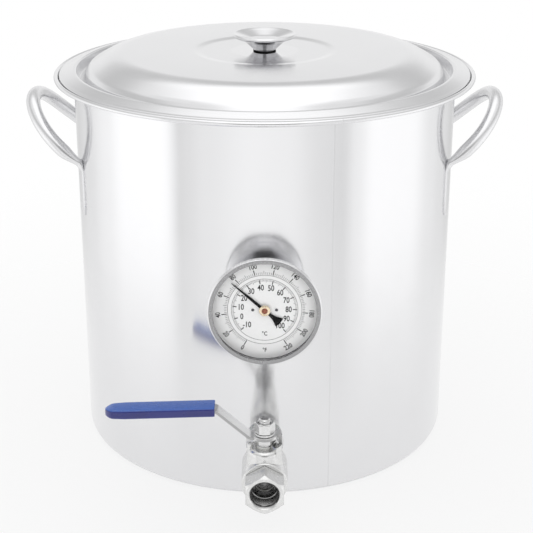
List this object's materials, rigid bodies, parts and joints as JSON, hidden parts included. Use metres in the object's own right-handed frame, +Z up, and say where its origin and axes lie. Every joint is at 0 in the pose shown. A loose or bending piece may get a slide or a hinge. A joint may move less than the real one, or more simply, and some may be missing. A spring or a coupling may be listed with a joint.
{
  "type": "brew kettle",
  "caption": "Tall round stainless brew kettle with a stepped lid, loop handles, a dial thermometer and a lever ball valve.",
  "frame": {"origin": "centre of the underside of the base, on the kettle's axis", "axes": "+Z up along the kettle's axis, -Y towards the front, where the thermometer and the valve are, +X to the right as seen from the front"},
  "size_m": [0.3772, 0.3974, 0.327],
  "materials": {
    "pot_steel": "bright polished stainless steel, spun",
    "handle_steel": "polished round stainless tube, flattened at its welded ends",
    "lid_steel": "bright stainless steel with faint spinning marks",
    "knob_steel": "polished stainless steel",
    "black_rubber": "black rubber",
    "fastener_steel": "machined stainless steel",
    "case_steel": "satin stainless steel",
    "bezel_steel": "turned satin stainless steel",
    "lens_glass": "clear flat glass",
    "dial_enamel": "white dial with two printed scales",
    "pointer_black": "matt black",
    "hub_brass": "turned brass",
    "bimetal": "bimetal strip, wound",
    "fitting_steel": "machined stainless steel",
    "silicone": "heat-proof silicone",
    "valve_cast": "blasted and tumbled cast stainless steel",
    "ball_steel": "polished stainless steel",
    "ptfe": "white PTFE",
    "lever_steel": "bright pressed stainless strip",
    "blue_vinyl": "glossy dipped vinyl, blue"
  },
  "bodies": {
    "kettle": {"kettle_body": "pot_steel", "handle_left": "handle_steel", "handle_right": "handle_steel", "thermometer_case": "case_steel", "thermometer_bezel": "bezel_steel", "thermometer_lens": "lens_glass", "lens_gasket": "black_rubber", "dial_plate": "dial_enamel", "dial_screw_left": "fastener_steel", "dial_screw_right": "fastener_steel", "bimetal_coil": "bimetal", "probe_stem": "case_steel", "thermometer_bushing": "fitting_steel", "thermometer_washer": "fitting_steel", "thermometer_o_ring": "silicone", "thermometer_lock_nut": "fitting_steel", "bulkhead_fitting": "fitting_steel", "bulkhead_washer": "fitting_steel", "bulkhead_o_ring": "silicone", "bulkhead_lock_nut": "fitting_steel", "valve_body": "valve_cast", "valve_end_cap": "valve_cast", "seat_front": "ptfe", "seat_rear": "ptfe", "stem_packing": "ptfe", "gland_nut": "fastener_steel"},
    "lid_assembly": {"lid": "lid_steel", "lid_knob": "knob_steel", "knob_gasket": "black_rubber", "knob_screw": "fastener_steel", "knob_screw_washer": "fastener_steel"},
    "needle": {"pointer": "pointer_black", "pointer_hub": "hub_brass", "pointer_shaft": "fastener_steel"},
    "valve_handle": {"valve_ball": "ball_steel", "valve_stem": "fastener_steel", "valve_lever": "lever_steel", "lever_sleeve": "blue_vinyl", "lever_washer": "fastener_steel", "lever_nut": "fastener_steel"}
  },
  "joints": [
    {"name": "lid_lift", "type": "slide", "parent": "kettle", "child": "lid_assembly", "axis": [0, 0, 1], "range_m": [0, 0.15]},
    {"name": "valve_turn", "type": "hinge", "parent": "kettle", "child": "valve_handle", "pos_m": [0, -0.202, 0.049], "axis": [0, 0, 1], "range_deg": [0, 90]},
    {"name": "needle_turn", "type": "hinge", "parent": "kettle", "child": "needle", "pos_m": [0, -0.173, 0.1644], "axis": [0, 1, 0], "range_deg": [-103, 201]}
  ]
}
